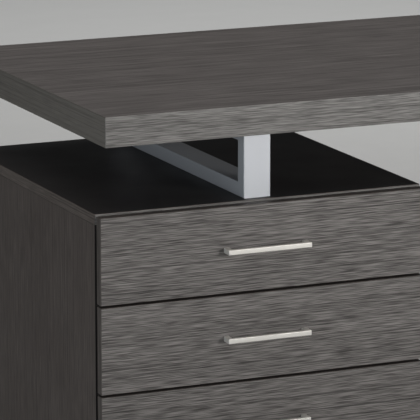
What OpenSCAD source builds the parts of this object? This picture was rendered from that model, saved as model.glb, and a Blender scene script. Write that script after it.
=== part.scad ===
// Writing desk with drawers: a thick hollow-core desktop that floats over a three-drawer
// pedestal on a tube bracket, and rests on a tube leg frame at its other end.
// X runs along the desk from the pedestal, Y from front to back, and Z up.
// The origin is on the floor, under the middle of the desktop.

/* [Desktop] */
// Length of the desktop
desk_l = 1524; // [1270:1:1830]
// Depth of the desktop
desk_d = 600; // [560:1:720]
// Height of the desktop's surface above the floor
desk_h = 762; // [700:1:915]
// Thickness of the desktop
desk_t = 42.5; // [34:0.5:52]
// Thickness of each skin of the desktop
skin_t = 3; // [2:0.5:6]
// Width of the frame rails inside the desktop
core_rail_w = 50; // [30:1:80]
// Width of the blocks that the tube frames screw into
block_w = 120; // [90:1:160]
// Width of a honeycomb cell across its flats
cell_w = 70; // [50:1:120]
// Thickness of the honeycomb's paper walls
cell_wall = 1.5; // [1:0.5:3]

/* [Pedestal] */
// Width of the pedestal
ped_w = 500; // [410:1:600]
// Depth of the pedestal's carcass
ped_d = 500; // [410:1:550]
// Overhang of the desktop in front of the pedestal's carcass
front_overhang = 42; // [40:1:60]
// Thickness of the pedestal's boards and the drawer fronts
board_t = 15; // [12:0.5:18]
// Thickness of the edge bands
band_t = 1; // [0.5:0.5:2]
// Height of the plinth under the pedestal's bottom board
plinth_h = 45; // [30:1:80]
// Set-back of the front plinth rail
plinth_setback = 20; // [5:1:50]
// Thickness of the back panel
back_t = 5; // [3:0.5:8]
// Distance of the back panel from the carcass's rear edges
back_inset = 8; // [5:1:15]
// Depth of the grooves that hold the back panel and the drawer bottoms
groove_deep = 6; // [4:0.5:8]

/* [Drawers] */
// Height of the upper and middle drawer fronts
box_front_h = 123.5; // [100:0.5:150]
// Gap between the drawer fronts
front_gap = 3.5; // [2:0.5:5]
// Strip of the pedestal's top that shows over the upper drawer front
top_reveal = 2.5; // [2:0.5:6]
// Distance of a drawer front's ends from the pedestal's sides
side_reveal = 1.5; // [1:0.5:3]
// Gap between the carcass and the back of a closed drawer front
front_standoff = 3; // [2:0.5:4]
// Overlap of the file drawer's front on the pedestal's bottom board
base_overlap = 6.5; // [4:0.5:10]
// Thickness of the drawer sides and backs
box_t = 12; // [10:0.5:15]
// Thickness of the drawer bottoms
bottom_t = 5; // [3:0.5:8]
// Height of a drawer side's lower edge over its front's lower edge
box_rise = 14; // [12:1:20]
// Height of a drawer bottom over the lower edge of its sides
bottom_rise = 10; // [8:1:14]
// Distance from the top of the box drawer sides to the top of their fronts
box_top_room = 19; // [14:1:30]
// Distance from the top of the file drawer sides to the top of its front
file_top_room = 35; // [30:1:60]
// Step of a drawer's back below its sides
back_step = 12; // [8:1:20]
// Room between a closed drawer and the back panel
rear_room = 40; // [25:1:80]
// Distance between the file drawer's two rails, for letter-size hanging files
file_rail_gap = 318; // [200:1:318]
// Thickness of a file rail
file_rail_t = 3; // [2:0.5:4]
// Height of a file rail
file_rail_h = 12; // [8:1:16]

/* [Handles] */
// Length of a handle
handle_l = 128; // [96:1:192]
// Height of a handle's bar
handle_h = 7.5; // [6:0.5:12]
// Thickness of a handle's bar
handle_t = 6; // [5:0.5:10]
// Projection of a handle from the drawer front
handle_out = 18; // [16:1:22]
// Width of a handle's legs
handle_leg_w = 8; // [7:0.5:12]
// Radius of the threaded hole in each leg
handle_hole_r = 1.9; // [1.5:0.1:2.2]

/* [Tube frames] */
// Width of the rectangular tube, across the desk's front
tube_w = 41; // [34:0.5:50]
// Thickness of the rectangular tube
tube_t = 20.5; // [17:0.5:25]
// Wall of the tube
tube_wall = 1.5; // [1:0.25:3]
// Gap between the pedestal and the desktop, which is the bracket's height
float_h = 100; // [80:1:120]
// Set-back of the bracket's posts from the pedestal's front and back
bracket_setback = 11; // [5:1:40]
// Set-back of the leg frame from the desktop's end
leg_end_inset = 20; // [0:1:60]
// Set-back of the leg frame from the desktop's front and back
leg_side_inset = 20; // [0:1:60]

/* [Runners] */
// Width of the space for a runner between a drawer and the pedestal's side
runner_w = 12.5; // [12.5:0.1:14]
// Thickness of the runners' sheet steel
sheet_t = 1.2; // [1:0.1:1.5]
// Inside height of a cabinet channel
channel_h = 20; // [18:0.5:24]
// Radius of the rollers
roller_r = 9.5; // [8:0.1:10]
// Radius of the roller pins
pin_r = 2.5; // [2:0.1:3.5]
// Distance of a roller's centre from the end of its profile
roller_end = 14; // [12:1:25]

/* [Fasteners and glides] */
// Radius of the cam locks
cam_r = 7.5; // [6:0.5:9]
// Distance from a cam lock's centre to the board's edge
cam_edge = 34; // [24:1:40]
// Radius of the cam bolts
bolt_r = 3; // [2.5:0.5:3.5]
// Radius of the dowels
dowel_r = 4; // [3:0.5:5]
// Length of a dowel in each of its boards' faces
dowel_face = 10; // [6:1:11]
// Length of a dowel in a board's edge
dowel_edge = 20; // [15:1:30]
// Radius of the wood screws
screw_r = 1.75; // [1.5:0.25:2.5]
// Radius of the frame screws and the bracket's bolts
frame_screw_r = 3; // [2.5:0.25:4]
// Radius of the frame screws' heads
frame_head_r = 6; // [5:0.5:8]
// Height of the frame screws' heads
frame_head_h = 3; // [2:0.5:4]
// Height of the glides
glide_h = 5; // [3:0.5:10]
// Radius of the glides
glide_r = 7; // [5:0.5:9]

/* [Clearances] */
// Room around a fastener or a panel in its hole or groove
fit_gap = 0.1; // [0.05:0.05:0.2]
// Room between two pieces that move past each other
run_gap = 0.3; // [0.2:0.05:0.6]
// Radial room of a roller on its pin
pin_gap = 0.05; // [0.02:0.01:0.1]

/* [Hidden] */
$fn = 64;

// Colours
wood_col = "#5c5856";
wood_dark_col = "#45413f";
black_col = "#1d1c1b";
raw_col = "#b08d62";
paper_col = "#c8b48c";
silver_col = "#b9babd";
nickel_col = "#cfcfca";
zinc_col = "#9da0a3";
white_col = "#e6e6e2";
plastic_col = "#2a2a2a";

// Desktop
desk_x0 = -desk_l / 2;
desk_x1 = desk_l / 2;
desk_y0 = -desk_d / 2;
desk_y1 = desk_d / 2;
desk_z0 = desk_h - desk_t;
core_h = desk_t - 2 * skin_t;
core_x0 = desk_x0 + band_t;
core_x1 = desk_x1 - band_t;
core_y0 = desk_y0 + band_t;
core_y1 = desk_y1 - band_t;
bay_y0 = core_y0 + core_rail_w;
bay_y1 = core_y1 - core_rail_w;

// Pedestal carcass
ped_x0 = desk_x0;
ped_x1 = ped_x0 + ped_w;
ped_xc = (ped_x0 + ped_x1) / 2;
ped_y0 = desk_y0 + front_overhang;
ped_y1 = ped_y0 + ped_d;
ped_h = desk_z0 - float_h;
side_top = ped_h - board_t;
in_x0 = ped_x0 + board_t;
in_x1 = ped_x1 - board_t;
base_z0 = glide_h + plinth_h;
base_z1 = base_z0 + board_t;
back_y1 = ped_y1 - back_inset;
back_y0 = back_y1 - back_t;
joint_inset = 50;
joint_ys = [ped_y0 + joint_inset, back_y0 - joint_inset];
dowel_inset = 90;
dowel_ys = [ped_y0 + dowel_inset, back_y0 - dowel_inset];
plinth_front_y = ped_y0 + plinth_setback;
plinth_back_y = back_y0 - board_t;
cam_cover = 2.5;
cam_h = board_t - cam_cover;
blind_cover = 4;
bolt_in = board_t - blind_cover;

// Tube frames
bracket_x0 = ped_xc - tube_w / 2;
bracket_y0 = ped_y0 + bracket_setback;
bracket_y1 = ped_y1 - bracket_setback;
leg_x1 = desk_x1 - leg_end_inset;
leg_x0 = leg_x1 - tube_w;
leg_xc = (leg_x0 + leg_x1) / 2;
leg_y0 = desk_y0 + leg_side_inset;
leg_y1 = desk_y1 - leg_side_inset;
bracket_screw_inset = 70;
bracket_screw_ys = [
    bracket_y0 + bracket_screw_inset,
    (bracket_y0 + bracket_y1) / 2,
    bracket_y1 - bracket_screw_inset
];
leg_screw_inset = 90;
leg_screw_ys = [leg_y0 + leg_screw_inset, (leg_y0 + leg_y1) / 2, leg_y1 - leg_screw_inset];
// The block over the leg frame reaches the desktop's end rail
block_spans = [
    [ped_xc - block_w / 2, ped_xc + block_w / 2],
    [leg_xc - block_w / 2, core_x1 - core_rail_w]
];
access_room = 1;
access_r = frame_head_r + access_room;
frame_screw_l = 28;
bolt_head_h = 3.5;
nut_wall = 1.5;
nut_r = frame_screw_r + nut_wall;
nut_l = 12;
nut_floor = 1;
leg_glide_ys = [leg_y0 + tube_t / 2, leg_y1 - tube_t / 2];
glide_inset = 40;
ped_glide_ys = [ped_y0 + glide_inset, ped_y1 - glide_inset];
glide_stem_r = 2.5;
glide_stem_l = 14;

// Drawers: [name, bottom of the front, height of the front, room over the sides]
upper_z = ped_h - top_reveal - box_front_h;
middle_z = upper_z - front_gap - box_front_h;
file_z = base_z1 - base_overlap;
file_front_h = middle_z - front_gap - file_z;
upper = [upper_z, box_front_h, box_top_room];
middle = [middle_z, box_front_h, box_top_room];
file = [file_z, file_front_h, file_top_room];
front_y1 = ped_y0 - front_standoff;
front_y0 = front_y1 - board_t;
box_y1 = back_y0 - rear_room;
box_l = box_y1 - front_y1;
box_x0 = in_x0 + runner_w;
box_x1 = in_x1 - runner_w;
screw_head_r = 3.5;
screw_head_h = 2;
handle_screw_r = handle_hole_r - fit_gap;
handle_screw_in = 10;
handle_screw_room = 0.3;
handle_xs = [ped_xc - handle_l / 2 + handle_leg_w / 2, ped_xc + handle_l / 2 - handle_leg_w / 2];
front_screw_in = 10;
front_screw_l = 34;
front_screw_shares = [0.2, 0.8];
back_screw_l = 30;
back_screw_shares = [0.25, 0.75];
side_screw_cover = 1;
side_screw_l = box_t - side_screw_cover;
file_rail_lead = 30;
file_rail_y0 = front_y1 + file_rail_lead;

// Runners: heights from the lower edge of a drawer side, and X from a side panel's inner face
web_x = runner_w - sheet_t;
track_z = 18;
track_room = 0.5;
channel_top = track_z - run_gap - track_room;
channel_z = channel_top - channel_h - 2 * sheet_t;
front_roller_z = track_z - run_gap - roller_r;
rear_roller_z = channel_z + sheet_t + run_gap + roller_r;
groove_cover = 2;
screw_z = bottom_rise - groove_cover - screw_r;
runner_setback = 2;
runner_y0 = ped_y0 + runner_setback;
runner_y1 = runner_y0 + box_l;
front_roller_y = runner_y0 + roller_end;
rear_roller_y = box_y1 - roller_end;
pin_room = 0.5;
roller_x0 = sheet_t + 2 * pin_room;
roller_x1 = web_x - 2 * pin_room;
collar_wall = 1.5;
collar_r = pin_r + collar_wall;
flange_room = 0.8;
flange_x1 = web_x - flange_room;
flange_lead = 10;
flange_start = front_roller_y + roller_r + flange_lead;
runner_screw_inset = 60;
runner_screw_ys = [runner_y0 + runner_screw_inset, runner_y1 - runner_screw_inset];
box_screw_ys = [front_y1 + runner_screw_inset, box_y1 - runner_screw_inset];
runner_screw_in = board_t - blind_cover;
profile_setback = 1;

// Length that a cut runs past the face it starts from
over = 1;

function side_z(d) = d[0] + box_rise;
function side_h(d) = d[1] - box_rise - d[2];

module block_at(low, high) {
    translate(low) cube(high - low);
}

// A rod along X, Y or Z
module rod_x(p, r, l) { translate(p) rotate([0, 90, 0]) cylinder(r = r, h = l); }
module rod_y(p, r, l) { translate(p) rotate([-90, 0, 0]) cylinder(r = r, h = l); }
module rod_z(p, r, l) { translate(p) cylinder(r = r, h = l); }

// Both sides of the pedestal: the children are drawn for the left one, with X from its inner face
module both_sides() {
    translate([in_x0, 0, 0]) children();
    translate([in_x1, 0, 0]) mirror([1, 0, 0]) children();
}

// Desktop -----------------------------------------------------------------

module frame_screw_holes(r, z, h) {
    for (y = bracket_screw_ys) rod_z([ped_xc, y, z], r, h);
    for (y = leg_screw_ys) rod_z([leg_xc, y, z], r, h);
}

module desktop_top_skin() {
    color(wood_col) block_at([core_x0, core_y0, desk_h - skin_t], [core_x1, core_y1, desk_h]);
}

module desktop_bottom_skin() {
    color(wood_col) difference() {
        block_at([core_x0, core_y0, desk_z0], [core_x1, core_y1, desk_z0 + skin_t]);
        frame_screw_holes(frame_screw_r + fit_gap, desk_z0 - over, skin_t + 2 * over);
    }
}

module desktop_core_rails() {
    z0 = desk_z0 + skin_t;
    z1 = z0 + core_h;
    color(raw_col) difference() {
        union() {
            block_at([core_x0, core_y0, z0], [core_x1, bay_y0, z1]);
            block_at([core_x0, bay_y1, z0], [core_x1, core_y1, z1]);
            for (x = [core_x0, core_x1 - core_rail_w])
                block_at([x, bay_y0 + fit_gap, z0], [x + core_rail_w, bay_y1 - fit_gap, z1]);
        }
        frame_screw_holes(frame_screw_r + fit_gap, z0 - over, frame_screw_l + over);
    }
}

module desktop_mounting_blocks() {
    z0 = desk_z0 + skin_t;
    color(raw_col) difference() {
        for (s = block_spans)
            block_at([s[0], bay_y0, z0], [s[1], bay_y1, z0 + core_h]);
        frame_screw_holes(frame_screw_r + fit_gap, z0 - over, frame_screw_l + over);
    }
}

// A slab of hexagonal cells between two lengths of the desktop
module honeycomb_slab(x0, x1) {
    pitch = cell_w + cell_wall;
    row = pitch * sqrt(3) / 2;
    cell_r = cell_w / sqrt(3);
    columns = ceil((x1 - x0) / pitch) + 1;
    rows = ceil((bay_y1 - bay_y0) / row) + 1;
    translate([0, 0, desk_z0 + skin_t]) linear_extrude(core_h) difference() {
        translate([x0, bay_y0]) square([x1 - x0, bay_y1 - bay_y0]);
        intersection() {
            translate([x0 + cell_wall, bay_y0 + cell_wall])
                square([x1 - x0 - 2 * cell_wall, bay_y1 - bay_y0 - 2 * cell_wall]);
            union() for (i = [0:columns], j = [0:rows])
                translate([x0 + (i + (j % 2) / 2) * pitch, bay_y0 + j * row])
                    rotate(30) circle(r = cell_r, $fn = 6);
        }
    }
}

module desktop_honeycomb() {
    color(paper_col) {
        honeycomb_slab(core_x0 + core_rail_w, block_spans[0][0]);
        honeycomb_slab(block_spans[0][1], block_spans[1][0]);
    }
}

module desktop_long_bands() {
    color(wood_col) {
        block_at([desk_x0, desk_y0, desk_z0], [desk_x1, core_y0, desk_h]);
        block_at([desk_x0, core_y1, desk_z0], [desk_x1, desk_y1, desk_h]);
    }
}

module desktop_end_bands() {
    color(wood_dark_col) {
        block_at([desk_x0, core_y0, desk_z0], [core_x0, core_y1, desk_h]);
        block_at([core_x1, core_y0, desk_z0], [desk_x1, core_y1, desk_h]);
    }
}

// Pedestal ----------------------------------------------------------------

// Cams sit in the side panels for the top board, and under the bottom board for the sides
module cam_shape(grow) {
    r = cam_r + grow;
    both_sides() for (y = joint_ys) {
        rod_x([-cam_h, y, side_top - cam_edge], r, cam_h + grow);
        rod_z([cam_edge, y, base_z0 - grow], r, cam_h + grow);
    }
}

module bolt_shape(grow) {
    r = bolt_r + grow;
    both_sides() for (y = joint_ys) {
        rod_z([-board_t / 2, y, side_top - cam_edge], r, cam_edge + bolt_in + grow);
        rod_x([-bolt_in - grow, y, base_z0 + board_t / 2], r, bolt_in + cam_edge + grow);
    }
}

module dowel_shape(grow) {
    r = dowel_r + grow;
    both_sides() {
        for (y = dowel_ys) {
            rod_z([-board_t / 2, y, side_top - dowel_edge - grow], r,
                dowel_edge + dowel_face + 2 * grow);
            rod_x([-dowel_face - grow, y, base_z0 + board_t / 2], r,
                dowel_edge + dowel_face + 2 * grow);
        }
        for (y = [plinth_front_y, plinth_back_y])
            rod_x([-dowel_face - grow, y + board_t / 2, glide_h + plinth_h / 2], r,
                dowel_edge + dowel_face + 2 * grow);
    }
}

module cam_locks() {
    color(zinc_col) difference() {
        cam_shape(0);
        bolt_shape(fit_gap);
    }
}

module cam_bolts() { color(zinc_col) bolt_shape(0); }
module dowels() { color(raw_col) dowel_shape(0); }

module bracket_bolt_holes(r, z, h) {
    for (y = bracket_screw_ys) rod_z([ped_xc, y, z], r, h);
}

module back_groove() {
    x = groove_deep + fit_gap;
    block_at([in_x0 - x, back_y0 - fit_gap, base_z1 - x], [in_x1 + x, back_y1 + fit_gap, side_top + x]);
}

module pedestal_top() {
    color(black_col) difference() {
        block_at([ped_x0 + band_t, ped_y0 + band_t, side_top], [ped_x1 - band_t, ped_y1, ped_h]);
        bracket_bolt_holes(frame_screw_r + fit_gap, side_top - over, board_t + 2 * over);
        bolt_shape(fit_gap);
        dowel_shape(fit_gap);
        back_groove();
    }
}

module pedestal_top_bands() {
    color(wood_dark_col) {
        block_at([ped_x0, ped_y0, side_top], [ped_x1, ped_y0 + band_t, ped_h]);
        for (x = [ped_x0, ped_x1 - band_t])
            block_at([x, ped_y0 + band_t + fit_gap, side_top], [x + band_t, ped_y1, ped_h]);
    }
}

module side_panel(x0) {
    difference() {
        block_at([x0, ped_y0, glide_h], [x0 + board_t, ped_y1, side_top]);
        cam_shape(fit_gap);
        bolt_shape(fit_gap);
        dowel_shape(fit_gap);
        back_groove();
        glide_shape(fit_gap);
        for (d = [upper, middle, file]) cabinet_screw_shape(d, fit_gap);
    }
}

module left_side_panel() { color(wood_dark_col) side_panel(ped_x0); }
module right_side_panel() { color(wood_dark_col) side_panel(in_x1); }

module pedestal_bottom() {
    color(wood_dark_col) difference() {
        block_at([in_x0, ped_y0, base_z0], [in_x1, ped_y1, base_z1]);
        cam_shape(fit_gap);
        bolt_shape(fit_gap);
        dowel_shape(fit_gap);
        back_groove();
    }
}

module back_panel() {
    x = groove_deep;
    color(wood_dark_col)
        block_at([in_x0 - x, back_y0, base_z1 - x], [in_x1 + x, back_y1, side_top + x]);
}

module plinth_rails() {
    color(wood_dark_col) difference() {
        for (y = [plinth_front_y, plinth_back_y])
            block_at([in_x0, y, glide_h], [in_x1, y + board_t, base_z0]);
        dowel_shape(fit_gap);
    }
}

// Runners -----------------------------------------------------------------

// A countersunk screw along X, with its head's face at x and its shank towards the given side
module flush_screw(x, y, z, l, side, grow) {
    translate([x, y, z]) rotate([0, 90 * side, 0]) {
        cylinder(r = screw_r + grow, h = l + grow);
        cylinder(r1 = screw_head_r + grow, r2 = screw_r + grow, h = sheet_t);
    }
}

module cabinet_screw_shape(d, grow) {
    both_sides() for (y = runner_screw_ys)
        flush_screw(sheet_t, y, side_z(d) + screw_z, sheet_t + runner_screw_in, -1, grow);
}

module cabinet_runner(d) {
    z0 = side_z(d) + channel_z;
    z1 = side_z(d) + channel_top;
    roller_z = side_z(d) + front_roller_z;
    difference() {
        both_sides() {
            block_at([0, runner_y0, z0], [sheet_t, runner_y1, z1]);
            block_at([0, runner_y0, z0], [flange_x1, runner_y1, z0 + sheet_t]);
            block_at([0, flange_start, z1 - sheet_t], [flange_x1 / 2, runner_y1, z1]);
            rod_x([0, front_roller_y, roller_z], pin_r, roller_x1 + pin_room);
            rod_x([0, front_roller_y, roller_z], collar_r, roller_x0 - pin_room);
        }
        cabinet_screw_shape(d, fit_gap);
    }
}

module cabinet_runners() {
    color(white_col) for (d = [upper, middle, file]) cabinet_runner(d);
}

module runner_screws() {
    color(zinc_col) for (d = [upper, middle, file]) cabinet_screw_shape(d, 0);
}

// A drawer's own profile wraps the lower edge of its side, and its track runs over the front roller
module drawer_runners(d) {
    z = side_z(d);
    roller_z = z + rear_roller_z;
    y0 = front_y1 + profile_setback;
    color(white_col) difference() {
        both_sides() {
            block_at([web_x, y0, z - sheet_t], [runner_w, box_y1, z + track_z + sheet_t]);
            block_at([web_x, y0, z - sheet_t], [runner_w + box_t, box_y1, z]);
            block_at([roller_x0, y0, z + track_z], [web_x, box_y1, z + track_z + sheet_t]);
            rod_x([roller_x0 - pin_room, rear_roller_y, roller_z], pin_r, web_x - roller_x0 + pin_room);
            rod_x([roller_x1 + pin_room, rear_roller_y, roller_z], collar_r, web_x - roller_x1 - pin_room);
        }
        side_screw_shape(d, fit_gap);
    }
}

module roller_pair(y, z) {
    color(white_col) both_sides() difference() {
        rod_x([roller_x0, y, z], roller_r, roller_x1 - roller_x0);
        rod_x([roller_x0 - over, y, z], pin_r + pin_gap, roller_x1 - roller_x0 + 2 * over);
    }
}

module drawer_rear_rollers(d) { roller_pair(rear_roller_y, side_z(d) + rear_roller_z); }
module drawer_front_rollers(d) { roller_pair(front_roller_y, side_z(d) + front_roller_z); }

// Drawers -----------------------------------------------------------------

// Each handle is half a box drawer's front below the top of its own front
function handle_z(d) = d[0] + d[1] - box_front_h / 2;

module front_screw_shape(d, grow) {
    for (x = [box_x0 + box_t / 2, box_x1 - box_t / 2], t = front_screw_shares)
        rod_y([x, front_y1 - front_screw_in - grow, side_z(d) + side_h(d) * t], screw_r + grow,
            front_screw_l + 2 * grow);
}

module back_screw_shape(d, grow) {
    for (t = back_screw_shares) {
        z = side_z(d) + bottom_rise + (side_h(d) - bottom_rise - back_step) * t;
        both_sides() {
            rod_x([runner_w - grow, box_y1 - box_t / 2, z], screw_r + grow, back_screw_l + grow);
            rod_x([runner_w - grow, box_y1 - box_t / 2, z], screw_head_r + grow, screw_head_h + grow);
        }
    }
}

module side_screw_shape(d, grow) {
    both_sides() for (y = box_screw_ys)
        flush_screw(web_x, y, side_z(d) + screw_z, sheet_t + side_screw_l, 1, grow);
}

module drawer_box_screws(d) {
    color(zinc_col) {
        front_screw_shape(d, 0);
        back_screw_shape(d, 0);
        side_screw_shape(d, 0);
    }
}

module drawer_front(d) {
    color(wood_col) difference() {
        block_at([ped_x0 + side_reveal, front_y0, d[0]], [ped_x1 - side_reveal, front_y1, d[0] + d[1]]);
        for (x = handle_xs)
            rod_y([x, front_y0 - over, handle_z(d)], handle_screw_r + handle_screw_room, board_t + 2 * over);
        front_screw_shape(d, fit_gap);
        bottom_slab(d, fit_gap);
    }
}

// The drawer bottom, or the grooves that hold it
module bottom_slab(d, grow) {
    x = groove_deep + grow;
    z = side_z(d) + bottom_rise;
    block_at([box_x0 + box_t - x, front_y1 - x, z - grow], [box_x1 - box_t + x, box_y1, z + bottom_t + grow]);
}

// The file rails, or the slots in the tops of the file drawer's sides where they hang
module file_rail_shape(grow) {
    z = side_z(file) + side_h(file);
    for (y = [file_rail_y0, file_rail_y0 + file_rail_gap - file_rail_t])
        block_at([box_x0 + box_t / 2 - grow, y - grow, z - file_rail_h - grow],
            [box_x1 - box_t / 2 + grow, y + file_rail_t + grow, z + (grow > 0 ? over : 0)]);
}

module drawer_sides(d) {
    z = side_z(d);
    color(wood_dark_col) difference() {
        for (x = [box_x0, box_x1 - box_t])
            block_at([x, front_y1, z], [x + box_t, box_y1, z + side_h(d)]);
        bottom_slab(d, fit_gap);
        front_screw_shape(d, fit_gap);
        back_screw_shape(d, fit_gap);
        side_screw_shape(d, fit_gap);
        if (d == file) file_rail_shape(fit_gap);
    }
}

module drawer_back(d) {
    z = side_z(d) + bottom_rise + bottom_t + fit_gap;
    color(wood_dark_col) difference() {
        block_at([box_x0 + box_t, box_y1 - box_t, z],
            [box_x1 - box_t, box_y1, side_z(d) + side_h(d) - back_step]);
        back_screw_shape(d, fit_gap);
    }
}

module drawer_bottom(d) { color(wood_dark_col) bottom_slab(d, 0); }

module drawer_handle(d) {
    z = handle_z(d);
    y0 = front_y0 - handle_out;
    color(nickel_col) difference() {
        union() {
            block_at([ped_xc - handle_l / 2, y0, z - handle_h / 2],
                [ped_xc + handle_l / 2, y0 + handle_t, z + handle_h / 2]);
            for (x = handle_xs)
                block_at([x - handle_leg_w / 2, y0, z - handle_h / 2],
                    [x + handle_leg_w / 2, front_y0, z + handle_h / 2]);
        }
        for (x = handle_xs)
            rod_y([x, front_y0 - handle_screw_in - over, z], handle_hole_r, handle_screw_in + 2 * over);
    }
}

module drawer_handle_screws(d) {
    color(zinc_col) for (x = handle_xs) {
        rod_y([x, front_y0 - handle_screw_in, handle_z(d)], handle_screw_r, handle_screw_in + board_t);
        rod_y([x, front_y1, handle_z(d)], screw_head_r, screw_head_h);
    }
}

module drawer_file_rails() { color(zinc_col) file_rail_shape(0); }

// Bracket and leg frame -----------------------------------------------------

// A mitred rectangular tube along Y, with its wide side along X and its outer face at z = 0
module mitred_tube(l) {
    difference() {
        rotate([90, 0, 90]) linear_extrude(tube_w)
            polygon([[0, 0], [l, 0], [l - tube_t, tube_t], [tube_t, tube_t]]);
        block_at([tube_wall, -over, tube_wall], [tube_w - tube_wall, l + over, tube_t - tube_wall]);
    }
}

// The lower and upper tubes of a loop, between two corners of its outline
module loop_rails(x, low, high) {
    l = high[0] - low[0];
    translate([x, low[0], low[1]]) mitred_tube(l);
    translate([x, low[0], high[1]]) mirror([0, 0, 1]) mitred_tube(l);
}

// The front and rear tubes of the same loop
module loop_posts(x, low, high) {
    h = high[1] - low[1];
    translate([x, low[0], low[1]]) mirror([0, 1, -1]) mitred_tube(h);
    translate([x, high[0], low[1]]) mirror([0, 1, 0]) mirror([0, 1, -1]) mitred_tube(h);
}

// Holes for frame screws through a loop's upper tube, with access holes under them
module upper_tube_holes(x, ys) {
    for (y = ys) {
        rod_z([x, y, desk_z0 - tube_t - over], access_r, tube_wall + 2 * over);
        rod_z([x, y, desk_z0 - tube_wall - over], frame_screw_r + fit_gap, tube_wall + 2 * over);
    }
}

module bracket_posts() {
    color(silver_col) loop_posts(bracket_x0, [bracket_y0, ped_h], [bracket_y1, desk_z0]);
}

module bracket_rails() {
    color(silver_col) difference() {
        loop_rails(bracket_x0, [bracket_y0, ped_h], [bracket_y1, desk_z0]);
        upper_tube_holes(ped_xc, bracket_screw_ys);
        bracket_bolt_holes(nut_r + fit_gap, ped_h - over, tube_wall + 2 * over);
    }
}

module rivet_nuts() {
    color(zinc_col) for (y = bracket_screw_ys) difference() {
        rod_z([ped_xc, y, ped_h], nut_r, nut_l);
        rod_z([ped_xc, y, ped_h - over], frame_screw_r + fit_gap, nut_l + 2 * over);
    }
}

module bracket_bolts() {
    color(zinc_col) for (y = bracket_screw_ys) {
        rod_z([ped_xc, y, side_top - bolt_head_h], frame_head_r, bolt_head_h);
        rod_z([ped_xc, y, side_top], frame_screw_r, board_t + nut_l - nut_floor);
    }
}

module leg_posts() {
    color(silver_col) loop_posts(leg_x0, [leg_y0, glide_h], [leg_y1, desk_z0]);
}

module leg_rails() {
    color(silver_col) difference() {
        loop_rails(leg_x0, [leg_y0, glide_h], [leg_y1, desk_z0]);
        upper_tube_holes(leg_xc, leg_screw_ys);
        glide_shape(fit_gap);
    }
}

module frame_screw(x, y) {
    z = desk_z0 - tube_wall;
    rod_z([x, y, z - frame_head_h], frame_head_r, frame_head_h);
    rod_z([x, y, z], frame_screw_r, frame_screw_l);
}

module frame_screws() {
    color(zinc_col) {
        for (y = bracket_screw_ys) frame_screw(ped_xc, y);
        for (y = leg_screw_ys) frame_screw(leg_xc, y);
    }
}

// Round glides with a stem, under the pedestal's sides and the leg frame's posts
module glide_shape(grow) {
    both_sides() for (y = ped_glide_ys) glide_at(-board_t / 2, y, grow);
    for (y = leg_glide_ys) glide_at(leg_xc, y, grow);
}

module glide_at(x, y, grow) {
    rod_z([x, y, 0], glide_r, glide_h);
    rod_z([x, y, glide_h - over], glide_stem_r + grow, glide_stem_l + over + grow);
}

module glides() { color(plastic_col) glide_shape(0); }

// Nodes ---------------------------------------------------------------------

desktop_top_skin();
desktop_bottom_skin();
desktop_core_rails();
desktop_mounting_blocks();
desktop_honeycomb();
desktop_long_bands();
desktop_end_bands();
pedestal_top();
pedestal_top_bands();
left_side_panel();
right_side_panel();
pedestal_bottom();
back_panel();
plinth_rails();
cam_locks();
cam_bolts();
dowels();
cabinet_runners();
runner_screws();
bracket_rails();
bracket_posts();
bracket_bolts();
rivet_nuts();
leg_rails();
leg_posts();
frame_screws();
glides();
drawer_front(upper);  // upper_drawer_front
drawer_sides(upper);  // upper_drawer_sides
drawer_back(upper);  // upper_drawer_back
drawer_bottom(upper);  // upper_drawer_bottom
drawer_handle(upper);  // upper_drawer_handle
drawer_handle_screws(upper);  // upper_drawer_handle_screws
drawer_box_screws(upper);  // upper_drawer_box_screws
drawer_runners(upper);  // upper_drawer_runners
drawer_rear_rollers(upper);  // upper_drawer_rear_rollers
drawer_front_rollers(upper);  // upper_drawer_front_rollers
drawer_front(middle);  // middle_drawer_front
drawer_sides(middle);  // middle_drawer_sides
drawer_back(middle);  // middle_drawer_back
drawer_bottom(middle);  // middle_drawer_bottom
drawer_handle(middle);  // middle_drawer_handle
drawer_handle_screws(middle);  // middle_drawer_handle_screws
drawer_box_screws(middle);  // middle_drawer_box_screws
drawer_runners(middle);  // middle_drawer_runners
drawer_rear_rollers(middle);  // middle_drawer_rear_rollers
drawer_front_rollers(middle);  // middle_drawer_front_rollers
drawer_front(file);  // file_drawer_front
drawer_sides(file);  // file_drawer_sides
drawer_back(file);  // file_drawer_back
drawer_bottom(file);  // file_drawer_bottom
drawer_handle(file);  // file_drawer_handle
drawer_handle_screws(file);  // file_drawer_handle_screws
drawer_box_screws(file);  // file_drawer_box_screws
drawer_runners(file);  // file_drawer_runners
drawer_rear_rollers(file);  // file_drawer_rear_rollers
drawer_front_rollers(file);  // file_drawer_front_rollers
drawer_file_rails();  // file_drawer_file_rails
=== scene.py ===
"""Dresses the writing desk: eased boards, rounded tubes, turned hardware, and every finish.

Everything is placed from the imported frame, in metres: X runs along the desk from the pedestal,
Y from front to back, and Z up. Each sub-assembly is a class that builds and dresses its pieces.
"""
import logging
import math
from collections.abc import Iterable, Sequence
from dataclasses import dataclass, field
from enum import Enum

import bmesh
import bpy
from mathutils import Matrix, Vector


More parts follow.
